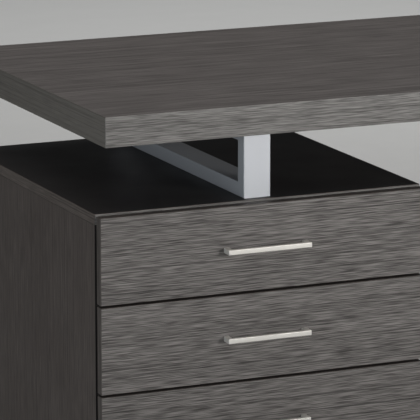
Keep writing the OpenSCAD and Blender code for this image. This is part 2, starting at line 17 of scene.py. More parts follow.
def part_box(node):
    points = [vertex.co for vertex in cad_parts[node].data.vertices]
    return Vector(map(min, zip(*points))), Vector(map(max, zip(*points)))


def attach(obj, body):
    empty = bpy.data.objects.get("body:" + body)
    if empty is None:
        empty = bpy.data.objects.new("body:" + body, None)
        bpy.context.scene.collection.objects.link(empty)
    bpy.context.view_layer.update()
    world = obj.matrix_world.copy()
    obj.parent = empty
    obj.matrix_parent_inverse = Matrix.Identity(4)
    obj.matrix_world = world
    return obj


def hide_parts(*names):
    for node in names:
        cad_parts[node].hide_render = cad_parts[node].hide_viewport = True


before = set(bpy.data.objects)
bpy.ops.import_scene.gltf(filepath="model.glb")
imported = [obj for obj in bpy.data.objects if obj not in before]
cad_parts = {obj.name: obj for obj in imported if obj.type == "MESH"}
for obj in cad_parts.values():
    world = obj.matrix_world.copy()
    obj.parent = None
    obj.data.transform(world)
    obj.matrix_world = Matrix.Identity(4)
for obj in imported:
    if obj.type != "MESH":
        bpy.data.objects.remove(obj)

bpy.context.view_layer.update()

LOG = logging.getLogger("desk")
MM = 0.001
# Vertices this close are one vertex
MERGE = 0.002 * MM
# A vertex this near a plane lies on it
ON_PLANE = 0.02 * MM
# Faces that turn less than this are one flat face
FLAT = math.radians(0.4)
# Edges that turn more than this are corners
SHARP = math.radians(35)
# Faces with more sides than this are round
ROUND_SIDES = 12
# The attribute that marks eased edges, for wear and a painted highlight along them
WEAR_AND_HIGHLIGHT_ATTRIBUTE = "edge_wear_and_highlight"

BMesh = bmesh.types.BMesh
BMEdge = bmesh.types.BMEdge
BMVert = bmesh.types.BMVert
Object = bpy.types.Object
Node = bpy.types.Node
Socket = bpy.types.NodeSocket
Sockets = bpy.types.bpy_prop_collection
Colour = tuple[float, float, float, float]
FLOAT = "NodeSocketFloat"
VECTOR = "NodeSocketVector"


class Axis(Enum):
    """A direction of the desk's frame."""

    X = 0
    Y = 1
    Z = 2


class Drive(Enum):
    """The recess in the head of a screw or bolt."""

    NONE = "none"
    CROSS = "cross"
    HEX = "hex"


def tint(red: int, green: int, blue: int) -> Colour:
    """Gives a screen colour as the linear colour that a shader takes.

    Args:
        red: Red, from 0 to 255.
        green: Green, from 0 to 255.
        blue: Blue, from 0 to 255.

    Returns:
        The linear colour, with full alpha.
    """
    def linear(part: int) -> float:
        """Turns one channel linear."""
        share = part / 255
        return share / 12.92 if share <= 0.04045 else ((share + 0.055) / 1.055) ** 2.4

    return (linear(red), linear(green), linear(blue), 1.0)


# Shader graphs ------------------------------------------------------------


class Graph:
    """A node tree, with short ways to add nodes and join them."""

    def __init__(self, tree: bpy.types.NodeTree) -> None:
        """Keeps the tree."""
        self.tree = tree

    def fill(self, node: Node, inputs: dict[str | int, object]) -> None:
        """Links sockets to a node's inputs, and sets its other inputs to plain values.

        Args:
            node: The node.
            inputs: The sockets and values, by the input's name or number.
        """
        for name, value in inputs.items():
            if isinstance(value, Socket):
                self.tree.links.new(value, node.inputs[name])
            else:
                node.inputs[name].default_value = value

    def feed(self, node: Node, **inputs: object) -> Sockets:
        """Fills a node's inputs, named with _ for a space, and gives its outputs."""
        self.fill(node, {name.replace("_", " "): value for name, value in inputs.items()})
        return node.outputs

    def node(self, kind: str, inputs: dict[str | int, object] | None = None,
             **settings: object) -> Node:
        """Adds a node.

        Args:
            kind: The node's type.
            inputs: Values or sockets for its inputs, by name or number.
            **settings: Properties of the node.

        Returns:
            The new node.
        """
        made = self.tree.nodes.new(kind)
        for name, value in settings.items():
            setattr(made, name, value)
        self.fill(made, inputs or {})
        return made

    def math(self, operation: str, first: object, second: object) -> Socket:
        """Adds a Math node and gives its result."""
        return self.node("ShaderNodeMath", {0: first, 1: second}, operation=operation).outputs[0]

    def vector(self, operation: str, first: object, second: object) -> Socket:
        """Adds a Vector Math node of two vectors and gives its result."""
        return self.node("ShaderNodeVectorMath", {0: first, 1: second}, operation=operation).outputs[0]

    def weigh(self, *parts: tuple[Socket, float]) -> Socket:
        """Gives the sum of some values, each multiplied by its weight."""
        first, *rest = (self.math("MULTIPLY", value, weight) for value, weight in parts)
        for part in rest:
            first = self.math("ADD", first, part)
        return first

    def remap(self, value: Socket, low: float, high: float, new_low: float = 0.0,
              new_high: float = 1.0) -> Socket:
        """Stretches a value's range to a new one and clamps it."""
        return self.node("ShaderNodeMapRange", {
            "Value": value, "From Min": low, "From Max": high, "To Min": new_low,
            "To Max": new_high}).outputs[0]

    def mix(self, factor: Socket, first: object, second: object, share: float = 1.0) -> Socket:
        """Mixes a share of the second colour into the first, by a factor, and gives the result."""
        if share < 1.0:
            factor = self.math("MULTIPLY", factor, share)
        return self.node("ShaderNodeMix", {0: factor, 6: first, 7: second}, data_type="RGBA").outputs[2]

    def noise(self, vector: Socket, scale: object = 1.0, detail: float = 1.0,
              roughness: float = 0.5, colour: bool = False) -> Socket:
        """Adds a noise and gives its value, or its colour."""
        made = self.node("ShaderNodeTexNoise", {
            "Vector": vector, "Scale": scale, "Detail": detail, "Roughness": roughness})
        return made.outputs["Color" if colour else "Fac"]


@dataclass(frozen=True)
class Effect:
    """A shader node group that several finishes share.

    Attributes:
        name: The group's name.
        inputs: Its input sockets, as name and type.
        outputs: The names of its outputs, which are all plain values.
    """

    name: str
    inputs: tuple[tuple[str, str], ...]
    outputs: tuple[str, ...]

    def group(self) -> bpy.types.NodeTree:
        """Gives the node group, built on its first use."""
        tree = bpy.data.node_groups.get(self.name)
        if tree is None:
            tree = bpy.data.node_groups.new(self.name, "ShaderNodeTree")
            for name, kind in self.inputs:
                tree.interface.new_socket(name, in_out="INPUT", socket_type=kind)
            for name in self.outputs:
                tree.interface.new_socket(name, in_out="OUTPUT", socket_type=FLOAT)
            graph = Graph(tree)
            ins = tree.nodes.new("NodeGroupInput").outputs
            graph.fill(tree.nodes.new("NodeGroupOutput"), self.wire(graph, ins))
        return tree

    def wire(self, graph: Graph, ins: Sockets) -> dict[str, Socket]:
        """Builds the inside of the group.

        Args:
            graph: The group's graph.
            ins: The group's inputs.

        Returns:
            The socket that feeds each output.
        """
        raise NotImplementedError

    def place(self, graph: Graph, **inputs: object) -> Sockets:
        """Places the group in a material.

        Args:
            graph: The material's graph.
            **inputs: Its inputs, by name, with _ for a space.

        Returns:
            The placed group's outputs.
        """
        return graph.feed(graph.node("ShaderNodeGroup", node_tree=self.group()), **inputs)


class WoodGrain(Effect):
    """Printed wood grain that runs along X: short fine streaks, broad bands and long dark pores."""

    # How quickly the streaks wander, along and across the grain
    DRIFT = (3.5, 11.0, 11.0)
    # The broader streaks', the bands' and the pores' rates beside the fine streaks'
    BROADER = (0.4, 0.4, 0.4)
    BANDS = (0.08, 0.05, 0.05)
    PORES = (0.07, 0.95, 0.95)
    # Keeps the pores apart from the streaks
    PORES_START = (31.0, 17.0, 5.0)
    # Shares of the fine streaks, the broader streaks and the bands in the tone
    FINE, MIDDLE, BROAD = 0.82, 0.08, 0.1

    def wire(self, graph: Graph, ins: Sockets) -> dict[str, Socket]:
        """Builds the grain's streaks, pores and height."""
        drift = graph.noise(graph.vector("MULTIPLY", ins["Vector"], self.DRIFT), colour=True)
        sway = graph.vector("MULTIPLY", graph.vector("SUBTRACT", drift, (0.5, 0.5, 0.5)), ins["Wave"])
        wavy = graph.vector("ADD", ins["Vector"], sway)
        along = graph.math("DIVIDE", 1.0, ins["Streak Length"])
        across = graph.math("DIVIDE", 1.0, ins["Streak Width"])
        rate = graph.node("ShaderNodeCombineXYZ", {0: along, 1: across, 2: across}).outputs[0]
        streaks = graph.vector("MULTIPLY", wavy, rate)
        middle = graph.noise(graph.vector("MULTIPLY", streaks, self.BROADER))
        broad = graph.noise(graph.vector("MULTIPLY", streaks, self.BANDS))
        tone = graph.weigh((graph.noise(streaks), self.FINE), (middle, self.MIDDLE), (broad, self.BROAD))
        tone = graph.remap(tone, 0.36, 0.64)
        lines = graph.vector("ADD", graph.vector("MULTIPLY", streaks, self.PORES), self.PORES_START)
        pores = graph.remap(graph.noise(lines), 0.58, 0.64)
        return {"Tone": tone, "Pores": pores, "Height": graph.weigh((tone, 0.5), (pores, -0.7))}


class EdgeWearAndHighlight(Effect):
    """A broken mask along eased edges, from the attribute that each mesh carries: wear, and a painted
    highlight where a finish lightens its edges.
    """

    def wire(self, graph: Graph, ins: Sockets) -> dict[str, Socket]:
        """Breaks the edge mask up with a noise."""
        edge = graph.node("ShaderNodeAttribute", attribute_name=WEAR_AND_HIGHLIGHT_ATTRIBUTE).outputs["Fac"]
        patches = graph.remap(graph.noise(ins["Vector"], 90.0, 3.0, 0.6), 0.35, 0.7)
        return {"Mask": graph.math("MULTIPLY", edge, graph.math("MULTIPLY", patches, ins["Amount"]))}


class Handling(Effect):
    """Faint smudges and settled dust, for a change of roughness and tone."""

    def wire(self, graph: Graph, ins: Sockets) -> dict[str, Socket]:
        """Adds broad smudges to fine specks."""
        smudge = graph.remap(graph.noise(ins["Vector"], 9.0, 3.0, 0.55), 0.3, 0.7)
        specks = graph.remap(graph.noise(ins["Vector"], 900.0), 0.66, 0.8)
        return {"Smudge": graph.weigh((smudge, 0.7), (specks, 0.3))}


class FineTexture(Effect):
    """The tiny even bumps of paint, powder coat or moulded plastic."""

    def wire(self, graph: Graph, ins: Sockets) -> dict[str, Socket]:
        """Gives bumps of a stated size and a sparkle at a third of it."""
        rate = graph.math("DIVIDE", 1.0, ins["Size"])
        sparkle = graph.noise(ins["Vector"], graph.math("MULTIPLY", rate, 3.0), 0.0)
        return {"Height": graph.noise(ins["Vector"], rate, 1.5),
                "Sparkle": graph.remap(sparkle, 0.58, 0.78)}


class Brushing(Effect):
    """Fine parallel lines from brushing or rolling, along X."""

    # Lines per metre, along and across them
    LINES = (60.0, 5200.0, 5200.0)

    def wire(self, graph: Graph, ins: Sockets) -> dict[str, Socket]:
        """Stretches a noise along the lines."""
        lines = graph.vector("MULTIPLY", ins["Vector"], self.LINES)
        return {"Lines": graph.noise(lines, 1.0, 2.0, 0.6)}


class Flakes(Effect):
    """Pressed wood chips of mixed tones."""

    # Chips per metre, along and across them
    CHIPS = (260.0, 420.0, 420.0)

    def wire(self, graph: Graph, ins: Sockets) -> dict[str, Socket]:
        """Gives each chip its own tone, with dark seams between them."""
        bent = graph.vector("MULTIPLY", ins["Vector"], self.CHIPS)
        chips = graph.node("ShaderNodeTexVoronoi", {"Vector": bent, "Scale": 1.0})
        tone = graph.node("ShaderNodeSeparateColor", {0: chips.outputs["Color"]}).outputs[0]
        return {"Tone": tone, "Seams": graph.remap(chips.outputs["Distance"], 0.35, 0.75)}


PLACE = ("Vector", VECTOR)
WOOD_GRAIN = WoodGrain(
    "wood_grain",
    (PLACE, ("Streak Width", FLOAT), ("Streak Length", FLOAT), ("Wave", VECTOR)),
    ("Tone", "Pores", "Height"))
EDGE_WEAR_AND_HIGHLIGHT = EdgeWearAndHighlight("edge_wear_and_highlight", (PLACE, ("Amount", FLOAT)), ("Mask",))
HANDLING = Handling("handling_marks", (PLACE,), ("Smudge",))
FINE_TEXTURE = FineTexture("fine_texture", (PLACE, ("Size", FLOAT)), ("Height", "Sparkle"))
BRUSHING = Brushing("brushing", (PLACE,), ("Lines",))
FLAKES = Flakes("wood_flakes", (PLACE,), ("Tone", "Seams"))

# Turns that bring a grain along X onto each axis
GRAIN_TURN = {
    Axis.X: (0.0, 0.0, 0.0),
    Axis.Y: (0.0, 0.0, math.radians(-90)),
    Axis.Z: (0.0, math.radians(90), 0.0),
}


# Finishes -------------------------------------------------------------------


@dataclass(frozen=True)
class Finish:
    """A finish, made into one material on its first use.

    Attributes:
        name: The material's name.
        slot: The record's material slot that the finish belongs to. Not used.
        roughness: The surface's mean roughness.
    """

    name: str
    slot: str
    roughness: float

    # How strongly an eased edge shows wear and the painted highlight
    WEAR_AND_HIGHLIGHT_SHARE = 0.5
    # How far smudges lower and raise the roughness
    SMUDGED = (-0.05, 0.08)
    # The relief's depth and strength
    RELIEF = (0.05 * MM, 0.5)

    def material(self) -> bpy.types.Material:
        """Gives the finish's material."""
        made = bpy.data.materials.get(self.name)
        if made is None:
            made = bpy.data.materials.new(self.name)
            made.use_nodes = True
            made.node_tree.nodes.clear()
            graph = Graph(made.node_tree)
            coords = graph.node("ShaderNodeTexCoord").outputs["Object"]
            shader = graph.node("ShaderNodeBsdfPrincipled")
            graph.node("ShaderNodeOutputMaterial", {"Surface": shader.outputs[0]})
            self.paint(graph, coords, shader)
        return made

    def paint(self, graph: Graph, coords: Socket, shader: Node) -> None:
        """Wires the finish's colour, roughness and bump into the shader.

        Args:
            graph: The material's graph.
            coords: The piece's own coordinates, in metres.
            shader: The Principled shader.
        """
        raise NotImplementedError

    def wear_and_highlight(self, graph: Graph, coords: Socket) -> Socket:
        """Gives the mask of the eased edges, for wear and the painted highlight."""
        return EDGE_WEAR_AND_HIGHLIGHT.place(graph, Vector=coords, Amount=self.WEAR_AND_HIGHLIGHT_SHARE)["Mask"]

    def rough(self, graph: Graph, smudge: Socket) -> Socket:
        """Gives the roughness that the smudges leave."""
        low, high = self.SMUDGED
        return graph.remap(smudge, 0.0, 1.0, self.roughness + low, self.roughness + high)

    def relief(self, graph: Graph, height: Socket) -> Socket:
        """Gives the normal that a height makes."""
        depth, strength = self.RELIEF
        return graph.node("ShaderNodeBump", {
            "Height": height, "Distance": depth, "Strength": strength}).outputs[0]


@dataclass(frozen=True)
class Laminate(Finish):
    """Melamine-faced board with a printed grain, as on every outer board.

    Attributes:
        dark: The grain's dark tone.
        light: The grain's light tone.
        pore: The tone of the pores.
        grain: The axis that the grain follows.
        streak_width: Width of a fine streak.
        streak_length: Length of a fine streak.
        wave: How far the streaks wander sideways.
        specular: Strength of the surface's reflection.
        seed: Moves the pattern, so that boards differ.
    """

    dark: Colour = tint(66, 63, 61)
    light: Colour = tint(138, 134, 131)
    pore: Colour = tint(34, 32, 31)
    grain: Axis = Axis.X
    streak_width: float = 1.0 * MM
    streak_length: float = 38 * MM
    wave: float = 1.1 * MM
    specular: float = 0.3
    seed: float = 0.0

    SMUDGED = (-0.05, 0.07)
    RELIEF = (0.12 * MM, 0.5)

    def paint(self, graph: Graph, coords: Socket, shader: Node) -> None:
        """Wires the grain, the handling marks and the eased edges, lightened as wear and a painted
        highlight.
        """
        turned = graph.node("ShaderNodeMapping", {
            "Vector": coords, "Rotation": GRAIN_TURN[self.grain],
            "Location": (self.seed, self.seed * 0.7, self.seed * 0.3)}).outputs[0]
        grain = WOOD_GRAIN.place(graph, Vector=turned, Streak_Width=self.streak_width,
                                 Streak_Length=self.streak_length, Wave=(0.0, self.wave, self.wave))
        smudge = HANDLING.place(graph, Vector=coords)["Smudge"]
        colour = graph.mix(grain["Tone"], self.dark, self.light)
        colour = graph.mix(grain["Pores"], colour, self.pore, 0.6)
        # Eased edges lightened towards the light tone: wear and a painted highlight
        colour = graph.mix(self.wear_and_highlight(graph, coords), colour, self.light)
        rough = graph.weigh((self.rough(graph, smudge), 1.0), (grain["Pores"], 0.12))
        graph.feed(shader, Base_Color=colour, Roughness=rough, Specular_IOR_Level=self.specular,
                   Normal=self.relief(graph, grain["Height"]))


@dataclass(frozen=True)
class SoftTouch(Finish):
    """Plain board facing with a faint pressed texture.

    Attributes:
        colour: Its colour.
        dust_and_edge_tone: Its colour where dust and handling show, and on eased edges, where it is
            lighter than the body, as wear and a painted highlight.
        size: Size of the pressed texture.
        specular: Strength of the surface's reflection.
    """

    colour: Colour
    dust_and_edge_tone: Colour
    size: float = 0.9 * MM
    specular: float = 0.3

    WEAR_AND_HIGHLIGHT_SHARE = 0.7
    SMUDGED = (-0.04, 0.08)
    RELIEF = (0.05 * MM, 0.35)

    def paint(self, graph: Graph, coords: Socket, shader: Node) -> None:
        """Wires the pressed texture and the dust."""
        smudge = HANDLING.place(graph, Vector=coords)["Smudge"]
        texture = FINE_TEXTURE.place(graph, Vector=coords, Size=self.size)
        colour = graph.mix(smudge, self.colour, self.dust_and_edge_tone, 0.5)
        # Eased edges mixed towards the lighter dust tone: wear and a painted highlight
        colour = graph.mix(self.wear_and_highlight(graph, coords), colour, self.dust_and_edge_tone)
        graph.feed(shader, Base_Color=colour, Roughness=self.rough(graph, smudge),
                   Specular_IOR_Level=self.specular, Normal=self.relief(graph, texture["Height"]))


@dataclass(frozen=True)
class Chipboard(Finish):
    """Pressed chips, paper or other raw board.

    Attributes:
        dark: The darkest chips.
        light: The lightest chips.
        chip: How many times larger than a fine chip the pattern is.
        specular: Strength of the surface's reflection.
    """

    dark: Colour = tint(128, 98, 62)
    light: Colour = tint(198, 166, 118)
    chip: float = 1.0
    specular: float = 0.2

    SMUDGED = (-0.05, 0.05)
    RELIEF = (0.15 * MM, 0.6)

    def paint(self, graph: Graph, coords: Socket, shader: Node) -> None:
        """Wires the chips' tones and seams."""
        chips = FLAKES.place(graph, Vector=graph.vector("MULTIPLY", coords, (1 / self.chip,) * 3))
        smudge = HANDLING.place(graph, Vector=coords)["Smudge"]
        colour = graph.mix(chips["Tone"], self.dark, self.light)
        colour = graph.mix(chips["Seams"], colour, self.dark, 0.6)
        height = graph.math("SUBTRACT", chips["Tone"], chips["Seams"])
        graph.feed(shader, Base_Color=colour, Roughness=self.rough(graph, smudge),
                   Specular_IOR_Level=self.specular, Normal=self.relief(graph, height))


@dataclass(frozen=True)
class PaintedMetal(Finish):
    """Sprayed or powder-coated steel.

    Attributes:
        colour: The paint's colour.
        rubbed: Its colour where edges have rubbed.
        metallic: Share of metal flake in it.
        peel: Size of its orange peel.
        flake: Size of its flakes.
        coat: Weight of its clear coat.
        coat_roughness: Roughness of its clear coat.
    """

    colour: Colour = tint(194, 197, 202)
    rubbed: Colour = tint(160, 162, 166)
    metallic: float = 0.35
    peel: float = 1.4 * MM
    flake: float = 0.6 * MM
    coat: float = 0.15
    coat_roughness: float = 0.25

    WEAR_AND_HIGHLIGHT_SHARE = 0.35
    SMUDGED = (-0.04, 0.06)
    RELIEF = (0.02 * MM, 0.5)

    def paint(self, graph: Graph, coords: Socket, shader: Node) -> None:
        """Wires the orange peel, the flake and the rubbed edges."""
        peel = FINE_TEXTURE.place(graph, Vector=coords, Size=self.peel)
        flake = FINE_TEXTURE.place(graph, Vector=coords, Size=self.flake)
        smudge = HANDLING.place(graph, Vector=coords)["Smudge"]
        colour = graph.mix(flake["Sparkle"], self.colour, self.rubbed, 0.25)
        colour = graph.mix(smudge, colour, self.rubbed, 0.12)
        colour = graph.mix(self.wear_and_highlight(graph, coords), colour, self.rubbed)
        graph.feed(shader, Base_Color=colour, Roughness=self.rough(graph, smudge),
                   Metallic=self.metallic, Coat_Weight=self.coat, Coat_Roughness=self.coat_roughness,
                   Normal=self.relief(graph, peel["Height"]))


@dataclass(frozen=True)
class BareMetal(Finish):
    """Plated or bare metal with fine brushed lines.

    Attributes:
        colour: The plating's colour.
        stained: Its colour where the plating is dull.
        anisotropy: How far the lines stretch the reflections.
        metallic: How far it reflects like bare metal.
    """

    colour: Colour
    stained: Colour
    anisotropy: float = 0.3
    metallic: float = 1.0

    SMUDGED = (-0.03, 0.05)
    RELIEF = (0.01 * MM, 0.3)

    def paint(self, graph: Graph, coords: Socket, shader: Node) -> None:
        """Wires the brushed lines and the dull patches."""
        lines = BRUSHING.place(graph, Vector=coords)["Lines"]
        smudge = HANDLING.place(graph, Vector=coords)["Smudge"]
        dull = graph.weigh((lines, 0.35), (smudge, 0.35))
        colour = graph.mix(dull, self.colour, self.stained)
        # Eased edges kept at the clean bright plating colour: wear and a painted highlight
        colour = graph.mix(self.wear_and_highlight(graph, coords), colour, self.colour)
        rough = graph.math("ADD", graph.remap(lines, 0.2, 0.8, -0.05, 0.05), self.rough(graph, smudge))
        graph.feed(shader, Base_Color=colour, Roughness=rough, Metallic=self.metallic,
                   Anisotropic=self.anisotropy, Normal=self.relief(graph, lines))


@dataclass(frozen=True)
class Moulded(Finish):
    """Moulded plastic.

    Attributes:
        colour: Its colour.
        scuffed: Its colour where it has rubbed.
        size: Size of its moulded texture.
        glow: Weight of the light that passes under its surface.
        glow_depth: How deep that light goes.
    """

    colour: Colour = tint(34, 34, 35)
    scuffed: Colour = tint(70, 70, 70)
    size: float = 0.5 * MM
    glow: float = 0.0
    glow_depth: float = 1 * MM

    WEAR_AND_HIGHLIGHT_SHARE = 0.6
    RELIEF = (0.03 * MM, 0.5)

    def paint(self, graph: Graph, coords: Socket, shader: Node) -> None:
        """Wires the moulded texture and the scuffs."""
        texture = FINE_TEXTURE.place(graph, Vector=coords, Size=self.size)
        smudge = HANDLING.place(graph, Vector=coords)["Smudge"]
        colour = graph.mix(smudge, self.colour, self.scuffed, 0.3)
        colour = graph.mix(self.wear_and_highlight(graph, coords), colour, self.scuffed)
        graph.feed(shader, Base_Color=colour, Roughness=self.rough(graph, smudge),
                   Subsurface_Weight=self.glow, Subsurface_Scale=self.glow_depth,
                   Normal=self.relief(graph, texture["Height"]))


def laminate(name: str, slot: str, grain: Axis, roughness: float = 0.5, **looks: object) -> Laminate:
    """Gives a laminate for a slot, with its grain along an axis."""
    return Laminate(f"{name}, grain along {grain.name}", slot, roughness, grain=grain, **looks)


TOP_X = laminate("Desktop laminate", "desktop_laminate", Axis.X, dark=tint(84, 80, 78),
                 light=tint(124, 119, 117), pore=tint(66, 62, 60), streak_width=1.7 * MM,
                 streak_length=75 * MM)
# One desktop laminate in lit and shaded copies: the long bands painted lighter as painted light, the end
# bands darker as painted shade
LIT_BAND_X = laminate("Edge band", "desktop_laminate", Axis.X, seed=3.1, dark=tint(84, 82, 80),
                  light=tint(142, 140, 137), pore=tint(68, 66, 64), streak_width=0.8 * MM,
                  streak_length=30 * MM, wave=0.7 * MM)
SHADED_BAND_Y = laminate("Edge band", "desktop_laminate", Axis.Y, seed=1.7, dark=tint(90, 87, 83),
                  light=tint(106, 103, 97), pore=tint(80, 77, 73))
# Side laminate tones, darker than the lit top board band of the same laminate: painted shade on the
# pedestal's sides, back, bottom and plinth rails
SHADED_SIDE_TONES = {"dark": tint(57, 51, 48), "light": tint(86, 78, 74), "pore": tint(48, 43, 41)}
SIDE_Z = laminate("Side laminate", "side_laminate", Axis.Z, seed=4.3, **SHADED_SIDE_TONES)
SIDE_X = laminate("Side laminate", "side_laminate", Axis.X, seed=2.3, **SHADED_SIDE_TONES)
# The pedestal top's bands in lit and shaded copies of the side laminate: faces toward front and back
# painted lighter as painted light, the other faces darker as painted shade
LIT_CAP_X = laminate("Top board band", "side_laminate", Axis.X, seed=6.1, dark=tint(92, 90, 88),
                 light=tint(144, 142, 139), pore=tint(74, 72, 70))
SHADED_CAP_Y = laminate("Top board band", "side_laminate", Axis.Y, seed=5.9, dark=tint(66, 60, 56),
                 light=tint(96, 88, 83), pore=tint(56, 51, 48))
FRONT_X = laminate("Drawer laminate", "drawer_laminate", Axis.X, seed=7.7)
# The drawer fronts' edge faces, darker than the same drawer laminate on their faces: painted shade on
# the edges that turn away from the light
SHADED_FRONT_Z = laminate("Drawer end band", "drawer_laminate", Axis.Z, seed=8.9, dark=tint(58, 53, 50),
                   light=tint(94, 88, 84), pore=tint(48, 44, 42))
INNER = SoftTouch("Drawer box facing", "drawer_box_laminate", 0.55,
                  colour=tint(70, 67, 65), dust_and_edge_tone=tint(86, 83, 80))
BLACK = SoftTouch("Black facing", "black_laminate", 0.5, colour=tint(47, 45, 45),
                  dust_and_edge_tone=tint(54, 52, 52), specular=0.2)
# The side panels' edges, painted near black: painted shade for the dark gaps beside the drawer fronts
SHADE_EDGE = SoftTouch("Black edge band", "side_laminate", 0.5, colour=tint(34, 32, 31),
                       dust_and_edge_tone=tint(44, 42, 41))
BOARD = Chipboard("Chipboard", "particle_board", 0.8)
PAPER = Chipboard("Kraft paper", "honeycomb_paper", 0.85,
                  dark=tint(164, 132, 88), light=tint(196, 164, 116), chip=0.5)
BEECH = laminate("Beech", "beech", Axis.Z, dark=tint(176, 128, 84), light=tint(214, 170, 122),
                 pore=tint(132, 90, 56), streak_width=0.8 * MM, streak_length=9 * MM, roughness=0.6)
SILVER = PaintedMetal("Silver paint", "silver_paint", 0.45)
WHITE = PaintedMetal("White powder coat", "white_steel", 0.4, colour=tint(222, 222, 217),
                     rubbed=tint(170, 170, 166), metallic=0.0, peel=0.9 * MM, coat=0.0)
NICKEL = BareMetal("Satin nickel", "satin_nickel", 0.5, colour=tint(237, 235, 230),
                  stained=tint(214, 210, 202), metallic=0.75)
ZINC = BareMetal("Bright zinc", "zinc", 0.34, colour=tint(186, 190, 194), stained=tint(146, 148, 150))
NYLON = Moulded("White nylon", "roller_nylon", 0.4, colour=tint(226, 224, 214),
                scuffed=tint(190, 187, 178), glow=0.15)
PLASTIC = Moulded("Black plastic", "black_plastic", 0.5)
FLOOR = SoftTouch("Pale floor", "", 0.7, colour=tint(213, 214, 213), dust_and_edge_tone=tint(207, 208, 207),
                  specular=0.1)


# Mesh work ------------------------------------------------------------------


@dataclass(frozen=True)
class Box:
    """A box in the desk's frame.

    Attributes:
        low: Its lowest corner.
        high: Its highest corner.
    """

    low: Vector
    high: Vector

    @classmethod
    def of_nodes(cls, *nodes: str) -> "Box":
        """Gives the box around some CAD nodes."""
        boxes = [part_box(node) for node in nodes]
        return cls(Vector(min(b[0][i] for b in boxes) for i in range(3)),
                   Vector(max(b[1][i] for b in boxes) for i in range(3)))

    @classmethod
    def of_verts(cls, verts: Iterable[BMVert]) -> "Box":
        """Gives the box around some vertices."""
        places = [v.co for v in verts]
        return cls(Vector(min(p[i] for p in places) for i in range(3)),
                   Vector(max(p[i] for p in places) for i in range(3)))

    @property
    def centre(self) -> Vector:
        """The middle of the box."""
        return (self.low + self.high) / 2

    @property
    def size(self) -> Vector:
        """The lengths of the box's sides."""
        return self.high - self.low

    def planes_at(self, place: Vector) -> set[tuple[int, int]]:
        """Names the box's faces that a point lies on, as axis and end."""
        found = set()
        for axis in range(3):
            if abs(place[axis] - self.low[axis]) < ON_PLANE:
                found.add((axis, 0))
            if abs(place[axis] - self.high[axis]) < ON_PLANE:
                found.add((axis, 1))
        return found


def merged_copy(node: str) -> BMesh:
    """Gives a copy of a CAD node's mesh with its triangles joined into whole faces.

    Args:
        node: The CAD node.

    Returns:
        The copy.
    """
    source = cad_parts[node].data.copy()
    for stale in ("custom_normal", "sharp_edge", "sharp_face"):
        if stale in source.attributes:
            source.attributes.remove(source.attributes[stale])
    bm = bmesh.new()
    bm.from_mesh(source)
    bpy.data.meshes.remove(source)
    bmesh.ops.remove_doubles(bm, verts=bm.verts, dist=MERGE)
    bmesh.ops.dissolve_limit(bm, angle_limit=FLAT, verts=bm.verts, edges=bm.edges)
    bm.normal_update()
    return bm


def islands(bm: BMesh) -> list[list[BMVert]]:
    """Splits a mesh's vertices into its separate solids, in the vertices' order.

    Args:
        bm: The mesh.

    Returns:
        The vertices of each solid.
    """
    seen = set()
    found = []
    for start in bm.verts:
        if start in seen:
            continue
        seen.add(start)
        solid = [start]
        # The list grows while it is walked, until the solid is whole
        for here in solid:
            for edge in here.link_edges:
                other = edge.other_vert(here)
                if other not in seen:
                    seen.add(other)
                    solid.append(other)
        found.append(solid)
    return found


def outer_edges(bm: BMesh, box: Box) -> list[BMEdge]:
    """Finds the edges that lie on the edges of a box.

    Args:
        bm: The mesh.
        box: The box.

    Returns:
        The edges.
    """
    found = []
    for edge in bm.edges:
        first, second = (box.planes_at(v.co) for v in edge.verts)
        if len(first & second) >= 2:
            found.append(edge)
    return found


def sharp_edges(bm: BMesh, shortest: float) -> list[BMEdge]:
    """Finds outward corners that are longer than the segments of a round hole.

    Args:
        bm: The mesh.
        shortest: The shortest edge to take.

    Returns:
        The edges.
    """
    return [e for e in bm.edges if len(e.link_faces) == 2 and e.is_convex
            and e.calc_face_angle(0.0) > SHARP and e.calc_length() > shortest]


def ease(bm: BMesh, edges: Sequence[BMEdge], radius: float, segments: int = 3) -> None:
    """Rounds edges over and marks the new faces for wear and the painted highlight.

    Args:
        bm: The mesh.
        edges: The edges to round.
        radius: The rounding's radius.
        segments: The faces across the rounding.
    """
    layer = bm.loops.layers.float.get(WEAR_AND_HIGHLIGHT_ATTRIBUTE) or bm.loops.layers.float.new(WEAR_AND_HIGHLIGHT_ATTRIBUTE)
    if edges:
        made = bmesh.ops.bevel(bm, geom=list(edges), offset=radius, offset_type="OFFSET",
                               segments=segments, profile=0.5, affect="EDGES", material=-1,
                               clamp_overlap=True)
        for face in made["faces"]:
            for loop in face.loops:
                loop[layer] = 1.0


def make_piece(name: str, bm: BMesh, body: str, finishes: Sequence[Finish],
               nodes: Sequence[str] = ()) -> Object:
    """Turns a mesh into a dressed piece that rides on a body.

    Args:
        name: The piece's name.
        bm: Its mesh, which is used up.
        body: The CAD body that it rides on.
        finishes: Its finishes, in the order of its faces' material numbers.
        nodes: The CAD nodes that it stands for.

    Returns:
        The piece.
    """
    for edge in bm.edges:
        edge.smooth = len(edge.link_faces) == 2 and edge.calc_face_angle(math.pi) < SHARP
    for face in bm.faces:
        face.smooth = True
    mesh = bpy.data.meshes.new(name)
    bm.to_mesh(mesh)
    bm.free()
    for finish in finishes:
        mesh.materials.append(finish.material())
    piece = bpy.data.objects.new(name, mesh)
    bpy.context.scene.collection.objects.link(piece)
    even = piece.modifiers.new("even_normals", "WEIGHTED_NORMAL")
    even.keep_sharp = True
    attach(piece, body)
    if nodes:
        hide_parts(*nodes)
    return piece


def dress_node(node: str, finish: Finish) -> Object:
    """Gives a CAD node that stays shown its finish.

    Args:
        node: The CAD node.
        finish: Its finish.

    Returns:
        The node's object.
    """
    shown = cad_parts[node]
    shown.data.materials.clear()
    shown.data.materials.append(finish.material())
    return shown


